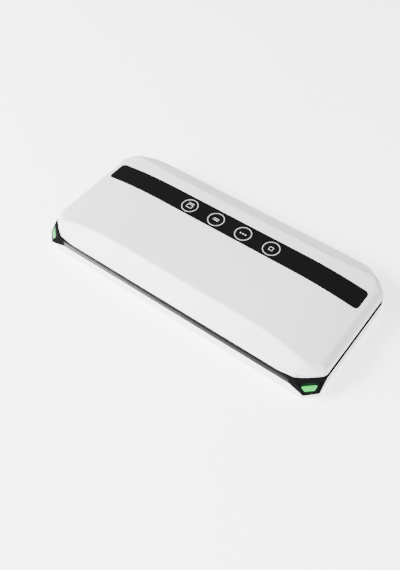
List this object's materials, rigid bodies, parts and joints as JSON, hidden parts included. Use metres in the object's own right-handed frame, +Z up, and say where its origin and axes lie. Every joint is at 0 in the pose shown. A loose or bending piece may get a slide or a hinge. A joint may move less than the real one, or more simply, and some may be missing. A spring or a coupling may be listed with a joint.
{
  "type": "vacuum sealer",
  "caption": "Slim countertop vacuum sealer: white arched lid hinged over a black-banded base, touch strip on top, green-lit release buttons on the front corners.",
  "frame": {"origin": "centre of the footprint, at the underside of the rubber feet", "axes": "+Z up, -Y towards the user (the side where the bag goes in), +X along the lid to the user's right"},
  "size_m": [0.3942, 0.1828, 0.0505],
  "materials": {
    "white_shell": "satin-gloss warm white ABS",
    "black_frame": "fine-grained black ABS",
    "gloss_trim": "piano black",
    "touch_glass": "glossy black acrylic",
    "key_print": "grey print under clear gloss",
    "circuit_board": "green solder mask",
    "spring_steel": "drawn wire",
    "steel_hardware": "zinc-plated",
    "black_rubber": "soft matt",
    "red_silicone": "matt silicone",
    "tray_plastic": "satin dark grey",
    "heater_base": "heat-resistant resin",
    "heater_alloy": "flat resistance wire",
    "ptfe_tape": "brown glass-cloth tape",
    "green_lens": "lit translucent green",
    "inner_plastic": "moulded nylon",
    "motor_steel": "drawn can",
    "clear_hose": "translucent silicone",
    "contact_brass": "bright"
  },
  "bodies": {
    "lid": {"lid_outer_cover": "white_shell", "lid_liner": "black_frame", "touch_panel": "touch_glass", "key_markings": "key_print", "touch_board": "circuit_board", "touch_springs": "spring_steel", "upper_gasket": "black_rubber", "pressure_strip": "red_silicone", "lid_screws": "steel_hardware", "latch_hook_left": "black_frame", "latch_hook_right": "black_frame"},
    "base": {"lower_housing": "white_shell", "upper_frame": "black_frame", "front_trim": "gloss_trim", "drip_tray": "tray_plastic", "air_nozzle": "tray_plastic", "lower_gasket": "black_rubber", "heater_bar": "heater_base", "heater_strip": "heater_alloy", "heater_tape": "ptfe_tape", "hinge_pins": "steel_hardware", "button_spring_left": "spring_steel", "button_spring_right": "spring_steel", "lamp_board_left": "circuit_board", "lamp_board_right": "circuit_board", "lid_switch": "inner_plastic", "pump_motor": "motor_steel", "pump_head": "inner_plastic", "pump_diaphragm": "black_rubber", "pump_cradle": "black_rubber", "release_valve": "inner_plastic", "pump_hose": "clear_hose", "chamber_hose": "clear_hose", "control_board": "circuit_board", "power_board": "circuit_board", "power_inlet": "inner_plastic", "inlet_pins": "contact_brass", "feet": "black_rubber", "housing_screws": "steel_hardware"},
    "button_left": {"release_button_left": "gloss_trim", "light_lens_left": "green_lens"},
    "button_right": {"release_button_right": "gloss_trim", "light_lens_right": "green_lens"},
    "switch_plunger": {"switch_plunger": "inner_plastic"},
    "pump_rotor": {"pump_rotor": "steel_hardware"}
  },
  "joints": [
    {"name": "lid_hinge", "type": "hinge", "parent": "base", "child": "lid", "pos_m": [0, 0.08437, 0.029], "axis": [-1, 0, 0], "range_deg": [0, 65]},
    {"name": "release_button_left", "type": "slide", "parent": "base", "child": "button_left", "axis": [0.6698, 0.7426, 0], "range_m": [0, 0.003], "stiffness_N_per_m": 600, "springref_m": -0.001},
    {"name": "release_button_right", "type": "slide", "parent": "base", "child": "button_right", "axis": [-0.6698, 0.7426, 0], "range_m": [0, 0.003], "stiffness_N_per_m": 600, "springref_m": -0.001},
    {"name": "lid_switch_press", "type": "slide", "parent": "base", "child": "switch_plunger", "axis": [0, 0, -1], "range_m": [0, 0.0012], "stiffness_N_per_m": 300, "springref_m": -0.0005},
    {"name": "pump_spin", "type": "hinge", "parent": "base", "child": "pump_rotor", "pos_m": [-0.078, 0.04337, 0.0164], "axis": [1, 0, 0], "continuous": true}
  ]
}
